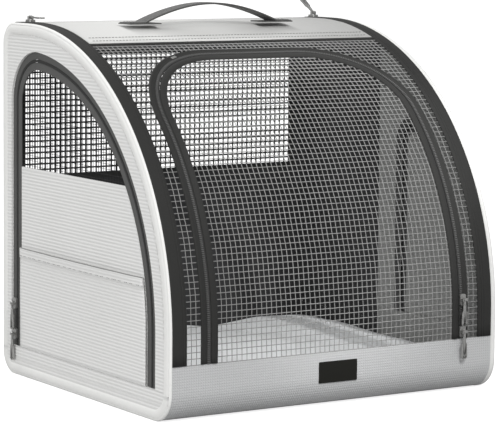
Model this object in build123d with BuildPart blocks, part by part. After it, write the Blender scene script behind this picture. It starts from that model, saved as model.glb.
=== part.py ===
from build123d import *
from math import sqrt, sin, cos, radians, pi
import os

# Overall size of the standing crate
width = 500.0
depth = 450.0
height = 480.0

# Side profile
arch_radius = 375.0
rear_corner = 30.0
front_corner = 40.0

# Sheets and gaps
cover_skin = 1.5
lining_skin = 1.5
seam_gap = 0.3
fold_gap = 0.4
rim_width = 8.0

# Side panels
panel_face = 5.0
panel_lining = 3.0
left_band_top = 32.0
left_panel_foot = 36.0
right_band_top = 60.0
right_panel_foot = 64.0

# Zips
tape_width = 10.0
coil_width = 3.6
tape_skin = 1.8
coil_proud = 0.6

# Left side door
left_door_inset = 36.0
left_door_rear = 198.5
left_door_corner = 70.0
left_door_foot = 40.0
left_window_foot = 286.0
pocket_top = 175.0
pocket_hem = 12.0
pocket_skin = 1.4
door_skin = 2.0

# Right side door
right_door_inset = 50.0
right_door_rear = -13.0
right_door_corner = 36.0
right_door_foot = 78.0

# Front
strip_top = 73.0
front_door_half = 195.0
front_door_apex = 64.5
front_door_corner = 128.0
front_tilt = 50.0
net_skin = 1.0

# Top strip and back window
strip_apex = 68.0
back_window_half = 224.0
back_window_foot = 260.0
back_window_top = 440.0
back_tape = 14.0

# Cushion, handle and patch
cushion_height = 46.0
cushion_gap = 6.0
cushion_crown = 5.0
board_skin = 3.0
handle_span = 285.0
handle_rise = 33.0
handle_width = 28.0
handle_skin = 2.4
tab_length = 62.0
handle_line = 115.0
patch_width = 59.0
patch_height = 27.5
patch_middle = 47.0
patch_skin = 0.8

# Sliders and pulls
slider_length = 15.0
slider_width = 9.0
slider_skin = 3.0
slider_step = 42.0
left_slider_low = 56.0
right_slider_low = 94.0
front_slider_low = 83.0
ear_gap = 4.6
ear_width = 1.6
ear_length = 4.0
pin_lift = 3.2
pin_radius = 1.0
pin_play = 0.3
eye_radius = 2.4
eye_play = 0.3
pull_length = 36.0
pull_width = 8.0
pull_skin = 1.8
pull_hole = 3.0
raised_pull = 32.0

arc_y = -depth / 2 + arch_radius
arc_z = height - arch_radius
half = width / 2
inner_half = half - rim_width
cover = cover_skin + lining_skin
panel_inset = cover + fold_gap
zip_width = tape_width * 2 + coil_width + seam_gap * 2
left_out = -half
right_out = half

os.makedirs("parts", exist_ok=True)


def profile_wire(inset):
    front = -depth / 2 + inset
    rear = depth / 2 - inset
    top = height - inset
    foot = inset
    big = arch_radius - inset
    rr = max(rear_corner - inset, 4.0)
    rf = max(front_corner - inset, 4.0)
    k = sin(radians(45))
    Line((front, arc_z), (front, foot + rf))
    ThreePointArc((front, foot + rf), (front + rf - rf * k, foot + rf - rf * k), (front + rf, foot))
    Line((front + rf, foot), (rear - rr, foot))
    ThreePointArc((rear - rr, foot), (rear - rr + rr * k, foot + rr - rr * k), (rear, foot + rr))
    Line((rear, foot + rr), (rear, top - rr))
    ThreePointArc((rear, top - rr), (rear - rr + rr * k, top - rr + rr * k), (rear - rr, top))
    Line((rear - rr, top), (arc_y, top))
    ThreePointArc((arc_y, top), (arc_y - big * k, arc_z + big * k), (front, arc_z))


def ring_face(outer, inner):
    with BuildLine() as edge:
        profile_wire(outer)
    make_face(edge.edges())
    with BuildLine() as edge:
        profile_wire(inner)
    make_face(edge.edges(), mode=Mode.SUBTRACT)


def panel_blank(foot, top):
    with BuildLine() as edge:
        profile_wire(panel_inset)
    make_face(edge.edges())
    keep_box(-depth, depth, foot, top)


def keep_box(y0, y1, z0, z1):
    with Locations(((y0 + y1) / 2, (z0 + z1) / 2)):
        Rectangle(y1 - y0, z1 - z0, mode=Mode.INTERSECT)


def keep_wedge(low, high):
    far = arch_radius * 2
    lo = (arc_y - far * cos(radians(low)), arc_z + far * sin(radians(low)))
    hi = (arc_y - far * cos(radians(high)), arc_z + far * sin(radians(high)))
    mid = (low + high) / 2
    top = (arc_y - far * 2 * cos(radians(mid)), arc_z + far * 2 * sin(radians(mid)))
    with BuildLine() as edge:
        Polyline((arc_y, arc_z), lo, top, hi, close=True)
    make_face(edge.edges(), mode=Mode.INTERSECT)


def door_wire(inset, rear, corner, foot, step):
    big = arch_radius - inset - step
    front = arc_y - big
    back = rear - step
    small = corner - step
    reach = big - small
    cy = back - small
    cz = arc_z + sqrt(reach**2 - (cy - arc_y) ** 2)
    uy = (cy - arc_y) / reach
    uz = (cz - arc_z) / reach
    ty = arc_y + uy * big
    tz = arc_z + uz * big
    k = sin(radians(45))
    my = (uy - 1) / 2
    mz = (uz + 0) / 2
    norm = sqrt(my**2 + mz**2)
    my = my / norm
    mz = mz / norm
    sy = (uy + 1) / 2
    sz = uz / 2
    norm = sqrt(sy**2 + sz**2)
    sy = sy / norm
    sz = sz / norm
    Line((front, arc_z), (front, foot))
    Line((front, foot), (back, foot))
    Line((back, foot), (back, cz))
    ThreePointArc((back, cz), (cy + small * sy, cz + small * sz), (ty, tz))
    ThreePointArc((ty, tz), (arc_y + big * my, arc_z + big * mz), (front, arc_z))


def left_door_face(step, mode=Mode.ADD):
    with BuildLine() as edge:
        door_wire(left_door_inset, left_door_rear, left_door_corner, left_door_foot, step)
    make_face(edge.edges(), mode=mode)


def right_door_face(step, mode=Mode.ADD):
    with BuildLine() as edge:
        door_wire(right_door_inset, right_door_rear, right_door_corner, right_door_foot, step)
    make_face(edge.edges(), mode=mode)


def front_face(step, mode=Mode.ADD):
    wide = front_door_half - step
    top = arch_radius * sin(radians(front_door_apex - front_tilt)) - step
    corner = front_door_corner - step
    foot = -height * 1.5
    k = sin(radians(45))
    with BuildLine() as edge:
        Line((-wide, foot), (wide, foot))
        Line((wide, foot), (wide, top - corner))
        ThreePointArc(
            (wide, top - corner),
            (wide - corner + corner * k, top - corner + corner * k),
            (wide - corner, top),
        )
        Line((wide - corner, top), (-wide + corner, top))
        ThreePointArc(
            (-wide + corner, top),
            (-wide + corner - corner * k, top - corner + corner * k),
            (-wide, top - corner),
        )
        Line((-wide, top - corner), (-wide, foot))
    make_face(edge.edges(), mode=mode)


front_plane = Plane(
    origin=(0, arc_y, arc_z),
    x_dir=(1, 0, 0),
    z_dir=(0, -cos(radians(front_tilt)), sin(radians(front_tilt))),
)
left_plane = Plane.YZ.offset(left_out)
right_plane = Plane.YZ.offset(inner_half)
step_coil = tape_width + seam_gap
step_tape = step_coil + coil_width
step_field = step_tape + tape_width + seam_gap

# Floor sheet of the cover
with BuildPart() as floor_sheet:
    with BuildSketch(Plane.YZ.offset(-inner_half)):
        ring_face(0, cover)
        keep_box(-depth / 2 + front_corner, depth / 2 + 10, -10, rear_corner)
    extrude(amount=inner_half * 2)

# Front base strip
with BuildPart() as front_base_strip:
    with BuildSketch(Plane.YZ.offset(-inner_half)):
        ring_face(0, cover)
        keep_box(-depth / 2 - 10, -depth / 2 + front_corner, -10, strip_top)
    extrude(amount=inner_half * 2)
    patch_y = -depth / 2
    with BuildSketch(Plane.XZ.offset(depth / 2 - patch_skin)):
        with Locations((0, patch_middle)):
            Rectangle(patch_width, patch_height)
    extrude(amount=patch_skin, mode=Mode.SUBTRACT)

# Plain patch let into the front base strip
with BuildPart() as blank_patch:
    with BuildSketch(Plane.XZ.offset(depth / 2 - patch_skin)):
        with Locations((0, patch_middle)):
            Rectangle(patch_width, patch_height)
    extrude(amount=patch_skin)
    fillet(blank_patch.edges().filter_by(Axis.Y), radius=1.5)

# Top panel with its lining
with BuildPart() as top_panel:
    with BuildSketch(Plane.YZ.offset(-inner_half)):
        ring_face(0, cover_skin)
        with BuildLine():
            far = arch_radius * 2
            Polyline(
                (arc_y, arc_z),
                (arc_y - far * cos(radians(strip_apex)), arc_z + far * sin(radians(strip_apex))),
                (arc_y + far, arc_z + far),
                (arc_y + far, height - rear_corner),
                (arc_y, height - rear_corner),
                close=True,
            )
        make_face(mode=Mode.INTERSECT)
    extrude(amount=inner_half * 2)
    with BuildSketch(Plane.XY.offset(arc_z + arch_radius / 2)):
        with Locations((-inner_half, -rear_corner), (inner_half, -rear_corner)):
            Rectangle(zip_width * 2, depth)
    extrude(amount=height, mode=Mode.SUBTRACT)

with BuildPart() as top_lining:
    with BuildSketch(Plane.YZ.offset(-inner_half)):
        ring_face(cover_skin + seam_gap, cover)
        with BuildLine():
            Polyline(
                (arc_y, arc_z),
                (arc_y - far * cos(radians(strip_apex)), arc_z + far * sin(radians(strip_apex))),
                (arc_y + far, arc_z + far),
                (arc_y + far, height - rear_corner),
                (arc_y, height - rear_corner),
                close=True,
            )
        make_face(mode=Mode.INTERSECT)
    extrude(amount=inner_half * 2)

# Back wall with a window opening
with BuildPart() as back_wall:
    with BuildSketch(Plane.XZ.offset(-depth / 2)):
        with Locations((0, height / 2)):
            Rectangle(inner_half * 2, height - rear_corner * 2)
        with Locations((0, (back_window_foot + back_window_top) / 2)):
            Rectangle(back_window_half * 2, back_window_top - back_window_foot, mode=Mode.SUBTRACT)
    extrude(amount=cover_skin)

with BuildPart() as back_lining:
    with BuildSketch(Plane.XZ.offset(-depth / 2 + cover_skin)):
        with Locations((0, height / 2)):
            Rectangle(inner_half * 2, height - rear_corner * 2)
        with Locations((0, (back_window_foot + back_window_top) / 2)):
            Rectangle(back_window_half * 2, back_window_top - back_window_foot, mode=Mode.SUBTRACT)
    extrude(amount=lining_skin)

window_high = back_window_top - back_window_foot
with BuildPart() as back_window_tape:
    with BuildSketch(Plane.XZ.offset(-depth / 2)):
        with Locations((0, back_window_foot + window_high / 2)):
            Rectangle(back_window_half * 2, window_high)
            Rectangle(
                back_window_half * 2 - back_tape, window_high - back_tape, mode=Mode.SUBTRACT
            )
    extrude(amount=cover)

with BuildPart() as back_window_net:
    with BuildSketch(Plane.XZ.offset(-depth / 2 + net_skin)):
        with Locations((0, back_window_foot + window_high / 2)):
            Rectangle(back_window_half * 2 - back_tape, window_high - back_tape)
    extrude(amount=net_skin)

# Rims round both sides of the cover
with BuildPart() as left_rim:
    with BuildSketch(left_plane):
        ring_face(0, cover)
    extrude(amount=rim_width)

with BuildPart() as right_rim:
    with BuildSketch(right_plane):
        ring_face(0, cover)
    extrude(amount=rim_width)


# Arch zips from the base strip over to the top rear
def arch_band(start, wide, outer, inner):
    with BuildSketch(Plane.YZ.offset(start)) as drawn:
        ring_face(outer, inner)
        keep_box(-depth / 2 - 10, depth / 2 - rear_corner, strip_top + seam_gap, height + 10)
    extrude(drawn.sketch, amount=wide)


arch_coil_at = tape_width + seam_gap
arch_inner_at = arch_coil_at + coil_width + seam_gap

with BuildPart() as left_arch_rim_tape:
    arch_band(-inner_half, tape_width, 0, cover_skin)

with BuildPart() as left_arch_coil:
    arch_band(-inner_half + arch_coil_at, coil_width, -coil_proud, cover_skin)

with BuildPart() as left_arch_net_tape:
    arch_band(-inner_half + arch_inner_at, tape_width, 0, cover_skin)

with BuildPart() as right_arch_rim_tape:
    arch_band(inner_half - tape_width, tape_width, 0, cover_skin)

with BuildPart() as right_arch_coil:
    arch_band(inner_half - arch_coil_at - coil_width, coil_width, -coil_proud, cover_skin)

with BuildPart() as right_arch_net_tape:
    arch_band(inner_half - arch_inner_at - tape_width, tape_width, 0, cover_skin)


# Curved sheet of the front between the arch zips
net_half = inner_half - zip_width


def front_sheet(outer, inner, high):
    with BuildSketch(Plane.YZ.offset(-net_half)) as drawn:
        ring_face(outer, inner)
        keep_box(-depth / 2 - 10, arc_y - 20, strip_top + seam_gap, height + 10)
        keep_wedge(-40, high)
    extrude(drawn.sketch, amount=net_half * 2)


with BuildPart() as front_net_surround:
    front_sheet(0.4, 0.4 + net_skin, strip_apex - 0.1)
    with BuildSketch(front_plane):
        front_face(-tape_width - seam_gap * 2)
    extrude(amount=arch_radius * 1.3, mode=Mode.SUBTRACT)

with BuildPart() as front_frame_tape:
    front_sheet(0, tape_skin, strip_apex)
    with BuildSketch(front_plane):
        front_face(-tape_width - seam_gap)
        front_face(-seam_gap, mode=Mode.SUBTRACT)
    extrude(amount=arch_radius * 1.3, mode=Mode.INTERSECT)

with BuildPart() as front_door_coil:
    front_sheet(-coil_proud, tape_skin, strip_apex)
    with BuildSketch(front_plane):
        front_face(0)
        front_face(coil_width, mode=Mode.SUBTRACT)
    extrude(amount=arch_radius * 1.3, mode=Mode.INTERSECT)

with BuildPart() as front_door_tape:
    front_sheet(0, tape_skin, strip_apex)
    with BuildSketch(front_plane):
        front_face(coil_width + seam_gap)
        front_face(coil_width + seam_gap + tape_width, mode=Mode.SUBTRACT)
    extrude(amount=arch_radius * 1.3, mode=Mode.INTERSECT)

with BuildPart() as front_door_net:
    front_sheet(0.4, 0.4 + net_skin, strip_apex)
    with BuildSketch(front_plane):
        front_face(coil_width + seam_gap * 2 + tape_width)
    extrude(amount=arch_radius * 1.3, mode=Mode.INTERSECT)


# Fixed lower bands at the sides
def low_band(start, thick, top):
    with BuildSketch(Plane.YZ.offset(start)) as drawn:
        panel_blank(-10, top)
    extrude(drawn.sketch, amount=thick)


with BuildPart() as left_lower_band:
    low_band(left_out, rim_width, left_band_top)

with BuildPart() as right_lower_band:
    low_band(inner_half, rim_width, right_band_top)

# Left side panel, its lining and zip
with BuildPart() as left_side_panel:
    with BuildSketch(left_plane):
        panel_blank(left_panel_foot, height * 2)
        left_door_face(0, mode=Mode.SUBTRACT)
    extrude(amount=panel_face)

with BuildPart() as left_side_lining:
    with BuildSketch(left_plane.offset(panel_face)):
        panel_blank(left_panel_foot, height * 2)
        left_door_face(tape_width - 2, mode=Mode.SUBTRACT)
    extrude(amount=panel_lining)

with BuildPart() as left_panel_tape:
    with BuildSketch(left_plane.offset(panel_face - tape_skin)):
        left_door_face(seam_gap)
        left_door_face(tape_width, mode=Mode.SUBTRACT)
        keep_box(-depth, depth, left_door_foot + seam_gap, height)
    extrude(amount=tape_skin)

with BuildPart() as left_door_coil:
    with BuildSketch(left_plane.offset(panel_face - tape_skin - coil_proud)):
        left_door_face(step_coil)
        left_door_face(step_tape, mode=Mode.SUBTRACT)
        keep_box(-depth, depth, left_door_foot + seam_gap, height)
    extrude(amount=tape_skin + coil_proud)

with BuildPart() as left_door_tape:
    with BuildSketch(left_plane.offset(panel_face - tape_skin)):
        left_door_face(step_tape + seam_gap)
        left_door_face(step_field, mode=Mode.SUBTRACT)
        keep_box(-depth, depth, left_door_foot + seam_gap, height)
    extrude(amount=tape_skin)

# Left door field: fabric, window net and pocket
with BuildPart() as left_door_fabric:
    with BuildSketch(left_plane.offset(panel_face - door_skin)):
        left_door_face(step_field + seam_gap)
        keep_box(-depth, depth, left_door_foot + seam_gap, left_window_foot)
    extrude(amount=door_skin)

with BuildPart() as left_door_net:
    with BuildSketch(left_plane.offset(panel_face - net_skin - 0.4)):
        left_door_face(step_field + seam_gap)
        keep_box(-depth, depth, left_window_foot + seam_gap, height)
    extrude(amount=net_skin)

with BuildPart() as left_pocket:
    with BuildSketch(left_plane.offset(panel_face - door_skin - pocket_skin - 1.4)):
        left_door_face(step_field + seam_gap)
        keep_box(-depth, depth, left_door_foot + seam_gap, pocket_top)
    extrude(amount=pocket_skin)
    with BuildSketch(left_plane.offset(panel_face - door_skin - 1.4)):
        left_door_face(step_field + seam_gap)
        left_door_face(step_field + 6, mode=Mode.SUBTRACT)
        keep_box(-depth, depth, left_door_foot + seam_gap, pocket_top - pocket_hem)
    extrude(amount=1.4)

with BuildPart() as left_pocket_hem:
    with BuildSketch(left_plane.offset(panel_face - door_skin - 1.4)):
        left_door_face(step_field + 7)
        keep_box(-depth, depth, pocket_top - pocket_hem, pocket_top)
    extrude(amount=1.0)

# Right side panel, its lining and door
with BuildPart() as right_side_panel:
    with BuildSketch(right_plane.offset(panel_lining)):
        panel_blank(right_panel_foot, height * 2)
        right_door_face(0, mode=Mode.SUBTRACT)
    extrude(amount=panel_face)

with BuildPart() as right_side_lining:
    with BuildSketch(right_plane):
        panel_blank(right_panel_foot, height * 2)
        right_door_face(tape_width - 2, mode=Mode.SUBTRACT)
    extrude(amount=panel_lining)

with BuildPart() as right_panel_tape:
    with BuildSketch(right_plane.offset(panel_lining)):
        right_door_face(seam_gap)
        right_door_face(tape_width, mode=Mode.SUBTRACT)
        keep_box(-depth, depth, right_door_foot + seam_gap, height)
    extrude(amount=tape_skin)

with BuildPart() as right_door_coil:
    with BuildSketch(right_plane.offset(panel_lining)):
        right_door_face(step_coil)
        right_door_face(step_tape, mode=Mode.SUBTRACT)
        keep_box(-depth, depth, right_door_foot + seam_gap, height)
    extrude(amount=tape_skin + coil_proud)

with BuildPart() as right_door_tape:
    with BuildSketch(right_plane.offset(panel_lining)):
        right_door_face(step_tape + seam_gap)
        right_door_face(step_field, mode=Mode.SUBTRACT)
        keep_box(-depth, depth, right_door_foot + seam_gap, height)
    extrude(amount=tape_skin)

with BuildPart() as right_door_fabric:
    with BuildSketch(right_plane.offset(panel_lining)):
        right_door_face(step_field + seam_gap)
        keep_box(-depth, depth, right_door_foot + seam_gap, height)
    extrude(amount=door_skin)

# Floor board under the cushion
with BuildPart() as floor_board:
    with BuildSketch(Plane.XY.offset(cover)):
        with Locations((0, (front_corner - rear_corner) / 2)):
            Rectangle((inner_half - cushion_gap) * 2, depth - (rear_corner + front_corner))
    extrude(amount=board_skin)

# Cushion with a crowned top
cushion_foot = cover + board_skin
cushion_x = (inner_half - cushion_gap) * 2
cushion_y = depth - cover * 2 - cushion_gap * 2 - rear_corner
with BuildPart() as cushion:
    with BuildSketch(Plane.XY.offset(cushion_foot)):
        with Locations((0, 4)):
            RectangleRounded(cushion_x - 12, cushion_y - 12, 30)
    with BuildSketch(Plane.XY.offset(cushion_foot + (cushion_height - cushion_foot) * 0.45)):
        with Locations((0, 4)):
            RectangleRounded(cushion_x, cushion_y, 34)
    with BuildSketch(Plane.XY.offset(cushion_height)):
        with Locations((0, 4)):
            RectangleRounded(cushion_x - 40, cushion_y - 40, 30)
    loft()

# Carry handle and its sewn tabs
strap_foot = height + 2.0


def handle_wire(lift):
    reach = handle_span / 2 - tab_length * 0.35
    Spline(
        (-reach, strap_foot + lift),
        (-reach * 0.6, strap_foot + handle_rise * 0.62 + lift),
        (0, strap_foot + handle_rise + lift),
        (reach * 0.6, strap_foot + handle_rise * 0.62 + lift),
        (reach, strap_foot + lift),
        tangents=[(1, 0.28), (1, -0.28)],
    )


with BuildPart() as handle_strap:
    with BuildSketch(Plane.XZ.offset(-handle_line + -handle_width / 2)):
        with BuildLine():
            handle_wire(0)
            handle_wire(handle_skin)
            reach = handle_span / 2 - tab_length * 0.35
            Line((-reach, strap_foot), (-reach, strap_foot + handle_skin))
            Line((reach, strap_foot), (reach, strap_foot + handle_skin))
        make_face()
    extrude(amount=handle_width)

with BuildPart() as left_handle_tab:
    with BuildSketch(Plane.XY.offset(height)):
        with Locations((-handle_span / 2 + tab_length / 2, handle_line)):
            RectangleRounded(tab_length, handle_width + 4, 2)
    extrude(amount=2.0)

with BuildPart() as right_handle_tab:
    with BuildSketch(Plane.XY.offset(height)):
        with Locations((handle_span / 2 - tab_length / 2, handle_line)):
            RectangleRounded(tab_length, handle_width + 4, 2)
    extrude(amount=2.0)


# Slider body: a plate over the zip with two ears and a pin
def slider_solid(plane, cx, cy):
    with BuildSketch(plane) as drawn:
        with Locations((cx, cy)):
            RectangleRounded(slider_width, slider_length, 2.4)
    extrude(drawn.sketch, amount=slider_skin)
    ear_reach = ear_gap / 2 + ear_width / 2
    with BuildSketch(plane.offset(slider_skin)) as drawn:
        with Locations((cx - ear_reach, cy), (cx + ear_reach, cy)):
            RectangleRounded(ear_width, ear_length, 0.5)
    extrude(drawn.sketch, amount=pin_lift + pin_radius + 0.6)
    with Locations(plane.location * Location((cx, cy, slider_skin + pin_lift), (0, 90, 0))):
        Cylinder(pin_radius, ear_gap + ear_width)


# Pull: an eye round the slider pin and a tongue with a hole near its end
def pull_solid(plane, cx, cy, way, tilt):
    spot = plane.location * Location((cx, cy, slider_skin + pin_lift), (tilt, 0, 0))
    blade = Plane(spot).offset(-pull_skin / 2)
    with Locations(spot * Location((0, 0, 0), (0, 90, 0))):
        Cylinder(eye_radius, ear_gap - eye_play * 2)
    with BuildSketch(blade) as drawn:
        with Locations((0, way * pull_length * 0.25)):
            Rectangle(ear_gap - eye_play * 2 - 0.6, pull_length * 0.5)
        with Locations((0, way * pull_length * 0.7)):
            RectangleRounded(pull_width, pull_length * 0.6, 3.4)
        with Locations((0, way * pull_length * 0.88)):
            Circle(pull_hole / 2, mode=Mode.SUBTRACT)
        with Locations((0, way * pull_length * 0.58)):
            SlotOverall(pull_length * 0.3, pull_hole * 0.9, rotation=90, mode=Mode.SUBTRACT)
    extrude(drawn.sketch, amount=pull_skin)
    with Locations(spot * Location((0, 0, 0), (0, 90, 0))):
        Cylinder(pin_radius + pin_play, ear_gap, mode=Mode.SUBTRACT)


face_left = Plane(origin=(left_out, 0, 0), x_dir=(0, -1, 0), z_dir=(-1, 0, 0))
face_right = Plane(origin=(right_out, 0, 0), x_dir=(0, 1, 0), z_dir=(1, 0, 0))
face_front = Plane(origin=(0, -depth / 2, 0), x_dir=(1, 0, 0), z_dir=(0, -1, 0))
face_top = Plane(origin=(0, 0, height), x_dir=(1, 0, 0), z_dir=(0, 0, 1))
slider_shift = slider_width / 2 - coil_width / 2
left_slider_line = left_door_rear - step_coil - coil_width / 2 + slider_shift
right_slider_line = right_door_rear - step_coil - coil_width / 2 + slider_shift
front_slider_line = front_door_half - coil_width / 2 + slider_shift
side_sink = panel_face - tape_skin - coil_proud - seam_gap
left_zip_plane = face_left.offset(-side_sink)
right_zip_plane = face_right.offset(-side_sink)
front_zip_plane = face_front.offset(coil_proud + seam_gap)
top_zip_plane = face_top.offset(coil_proud + seam_gap)
upper_turn = (front_slider_low + slider_step - arc_z) / arch_radius
upper_plane = Plane(
    origin=(
        0,
        arc_y - (arch_radius + coil_proud + seam_gap) * cos(upper_turn),
        arc_z + (arch_radius + coil_proud + seam_gap) * sin(upper_turn),
    ),
    x_dir=(1, 0, 0),
    z_dir=(0, -cos(upper_turn), sin(upper_turn)),
)
upper_hang = upper_turn * 180 / pi

with BuildPart() as left_door_slider:
    slider_solid(left_zip_plane, -left_slider_line, left_slider_low)

with BuildPart() as left_door_slider_upper:
    slider_solid(left_zip_plane, -left_slider_line, left_slider_low + slider_step)

with BuildPart() as left_door_pull:
    pull_solid(left_zip_plane, -left_slider_line, left_slider_low, -1, 0)

with BuildPart() as left_door_pull_upper:
    pull_solid(left_zip_plane, -left_slider_line, left_slider_low + slider_step, -1, 0)

with BuildPart() as right_door_slider:
    slider_solid(right_zip_plane, right_slider_line, right_slider_low)

with BuildPart() as right_door_pull:
    pull_solid(right_zip_plane, right_slider_line, right_slider_low, -1, 0)

with BuildPart() as front_door_slider:
    slider_solid(front_zip_plane, front_slider_line, front_slider_low)

with BuildPart() as front_door_slider_upper:
    slider_solid(upper_plane, front_slider_line, 0)

with BuildPart() as front_door_pull:
    pull_solid(front_zip_plane, front_slider_line, front_slider_low, -1, 0)

with BuildPart() as front_door_pull_upper:
    pull_solid(upper_plane, front_slider_line, 0, -1, upper_hang)

arch_zip_middle = inner_half - arch_coil_at - coil_width / 2
arch_slider_line = depth / 2 - rear_corner - slider_length / 2 - 6.0

with BuildPart() as left_arch_slider:
    slider_solid(top_zip_plane, -arch_zip_middle, arch_slider_line)

with BuildPart() as left_arch_pull:
    pull_solid(top_zip_plane, -arch_zip_middle, arch_slider_line, -1, 0)

with BuildPart() as right_arch_slider:
    slider_solid(top_zip_plane, arch_zip_middle, arch_slider_line)

with BuildPart() as right_arch_pull:
    pull_solid(top_zip_plane, arch_zip_middle, arch_slider_line, 1, raised_pull)

pieces = {
    "floor_sheet": floor_sheet,
    "front_base_strip": front_base_strip,
    "blank_patch": blank_patch,
    "top_panel": top_panel,
    "top_lining": top_lining,
    "back_wall": back_wall,
    "back_lining": back_lining,
    "back_window_tape": back_window_tape,
    "back_window_net": back_window_net,
    "left_rim": left_rim,
    "right_rim": right_rim,
    "left_arch_rim_tape": left_arch_rim_tape,
    "left_arch_coil": left_arch_coil,
    "left_arch_net_tape": left_arch_net_tape,
    "right_arch_rim_tape": right_arch_rim_tape,
    "right_arch_coil": right_arch_coil,
    "right_arch_net_tape": right_arch_net_tape,
    "front_net_surround": front_net_surround,
    "front_frame_tape": front_frame_tape,
    "front_door_coil": front_door_coil,
    "front_door_tape": front_door_tape,
    "front_door_net": front_door_net,
    "left_lower_band": left_lower_band,
    "right_lower_band": right_lower_band,
    "left_side_panel": left_side_panel,
    "left_side_lining": left_side_lining,
    "left_panel_tape": left_panel_tape,
    "left_door_coil": left_door_coil,
    "left_door_tape": left_door_tape,
    "left_door_fabric": left_door_fabric,
    "left_door_net": left_door_net,
    "left_pocket": left_pocket,
    "left_pocket_hem": left_pocket_hem,
    "right_side_panel": right_side_panel,
    "right_side_lining": right_side_lining,
    "right_panel_tape": right_panel_tape,
    "right_door_coil": right_door_coil,
    "right_door_tape": right_door_tape,
    "right_door_fabric": right_door_fabric,
    "floor_board": floor_board,
    "cushion": cushion,
    "handle_strap": handle_strap,
    "left_handle_tab": left_handle_tab,
    "right_handle_tab": right_handle_tab,
    "left_door_slider": left_door_slider,
    "left_door_slider_upper": left_door_slider_upper,
    "left_door_pull": left_door_pull,
    "left_door_pull_upper": left_door_pull_upper,
    "right_door_slider": right_door_slider,
    "right_door_pull": right_door_pull,
    "front_door_slider": front_door_slider,
    "front_door_slider_upper": front_door_slider_upper,
    "front_door_pull": front_door_pull,
    "front_door_pull_upper": front_door_pull_upper,
    "left_arch_slider": left_arch_slider,
    "left_arch_pull": left_arch_pull,
    "right_arch_slider": right_arch_slider,
    "right_arch_pull": right_arch_pull,
}
for name, piece in pieces.items():
    piece.part.label = name
    export_step(piece.part, f"parts/{name}.step")
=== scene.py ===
import bpy
import bmesh
import math
from mathutils import Vector, Matrix, noise


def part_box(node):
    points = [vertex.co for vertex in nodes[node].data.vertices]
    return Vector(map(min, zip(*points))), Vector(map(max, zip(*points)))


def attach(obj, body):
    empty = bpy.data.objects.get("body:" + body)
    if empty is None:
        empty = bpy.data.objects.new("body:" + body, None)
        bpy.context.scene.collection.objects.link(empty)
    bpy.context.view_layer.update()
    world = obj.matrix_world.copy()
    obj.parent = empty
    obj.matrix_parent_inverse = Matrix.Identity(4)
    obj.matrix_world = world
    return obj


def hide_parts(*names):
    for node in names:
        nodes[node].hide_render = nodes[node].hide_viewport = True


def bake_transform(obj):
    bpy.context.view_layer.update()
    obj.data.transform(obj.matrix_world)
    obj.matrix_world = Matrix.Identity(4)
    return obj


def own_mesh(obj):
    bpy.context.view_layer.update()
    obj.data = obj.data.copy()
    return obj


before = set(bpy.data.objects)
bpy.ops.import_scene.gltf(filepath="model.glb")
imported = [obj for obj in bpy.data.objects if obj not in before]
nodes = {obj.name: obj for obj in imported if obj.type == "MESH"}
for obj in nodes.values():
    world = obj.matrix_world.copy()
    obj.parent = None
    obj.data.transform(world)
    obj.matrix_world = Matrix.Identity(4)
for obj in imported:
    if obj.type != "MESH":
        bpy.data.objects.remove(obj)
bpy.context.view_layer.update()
scene = bpy.context.scene
print("frame loaded")

# sizes that several pieces share, in metres; topTurn is in degrees up the arch
crate = {
    "depth": 0.45,
    "height": 0.48,
    "archRadius": 0.375,
    "rearCorner": 0.03,
    "frontCorner": 0.04,
    "panelX": 0.25,
    "stripTop": 0.073,
    "underEdge": -0.1849,
    "topTurn": 70.3,
    "netLow": -0.2266,
    "netHigh": 0.2234,
    "leftEdge": 0.25,
    "rightEdge": 0.2535,
    "leftRim": 0.0030,
    "rightRim": 0.0083,
    "rimGap": 0.0001,
}
# outline of the front door's zip, in the tilted plane of its opening; it starts this far over the base strip
frontDoor = {"half": 0.195, "apex": 0.0939, "corner": 0.128, "tilt": math.radians(50), "start": 0.0006}
# outline of the left door's zip, and how far in from it the window and the pocket end
leftDoor = {"inset": 0.036, "rear": 0.1985, "corner": 0.07, "window": 0.0150, "pocket": 0.0248}
# outline of the right door's zip
rightDoor = {"inset": 0.050, "rear": -0.013, "corner": 0.036, "foot": 0.0785}
sides = {"left": -1, "right": 1}
frontY = -crate["depth"] / 2
rearY = crate["depth"] / 2
topZ = crate["height"]
archRadius = crate["archRadius"]
arcY = frontY + archRadius
arcZ = topZ - archRadius
flatEndY = rearY - crate["rearCorner"]


# materials

def shader(m):
    return m.node_tree.nodes["Principled BSDF"]


def newMaterial(name, color, roughness=0.8, metallic=0.0, sheen=0.0, specular=0.5):
    m = bpy.data.materials.new(name)
    m.use_nodes = True
    values = {
        "Base Color": (*color, 1),
        "Roughness": roughness,
        "Metallic": metallic,
        "Sheen Weight": sheen,
        "Specular IOR Level": specular,
    }
    for key, value in values.items():
        shader(m).inputs[key].default_value = value
    return m


# a new node to the right of those that are there
def node(tree, kind, inputs=None, **settings):
    n = tree.nodes.new(kind)
    n.location = (180 * len(tree.nodes) - 1500, -300)
    for key, value in settings.items():
        setattr(n, key, value)
    for key, value in (inputs or {}).items():
        n.inputs[key].default_value = value
    return n


def link(tree, a, aOut, b, bIn):
    tree.links.new(a.outputs[aOut], b.inputs[bIn])


# a math node whose terms are numbers or pairs of node and output; it gives such a pair
def calc(tree, operation, *terms):
    n = node(tree, "ShaderNodeMath", operation=operation)
    for k, term in enumerate(terms):
        if isinstance(term, tuple):
            link(tree, *term, n, k)
        else:
            n.inputs[k].default_value = term
    return n, 0


def objectAxes(tree):
    axes = node(tree, "ShaderNodeSeparateXYZ")
    link(tree, node(tree, "ShaderNodeTexCoord"), "Object", axes, 0)
    return axes


def objectNoise(tree, scale, detail=2.0):
    n = node(tree, "ShaderNodeTexNoise", {"Scale": scale, "Detail": detail})
    link(tree, node(tree, "ShaderNodeTexCoord"), "Object", n, "Vector")
    return n


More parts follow.
